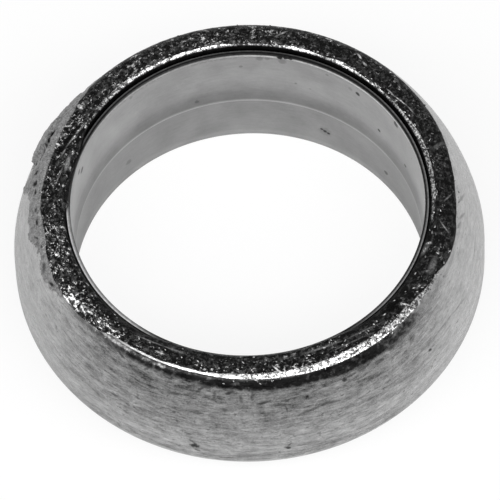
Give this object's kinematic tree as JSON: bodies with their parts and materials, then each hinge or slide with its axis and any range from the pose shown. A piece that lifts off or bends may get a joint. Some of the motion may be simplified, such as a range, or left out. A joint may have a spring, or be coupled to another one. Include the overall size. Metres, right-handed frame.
{
  "type": "exhaust gasket",
  "caption": "Ring gasket for an exhaust joint: a pressed wire-mesh and graphite ring with a spherical seat on a thin steel sleeve.",
  "frame": {"origin": "centre of the ring's flat back face, on the bore's axis", "axes": "+Z along the bore's axis, from the wide back face towards the small front face; the worn side of the ring is at -X"},
  "size_m": [0.0614, 0.0614, 0.0208],
  "materials": {
    "pressed_mesh": "pressed steel wire and graphite, burnished outside and dark on the front face",
    "sleeve_steel": "satin rolled sheet"
  },
  "bodies": {
    "root": {"mesh_ring": "pressed_mesh", "inner_sleeve": "sleeve_steel"}
  },
  "joints": []
}
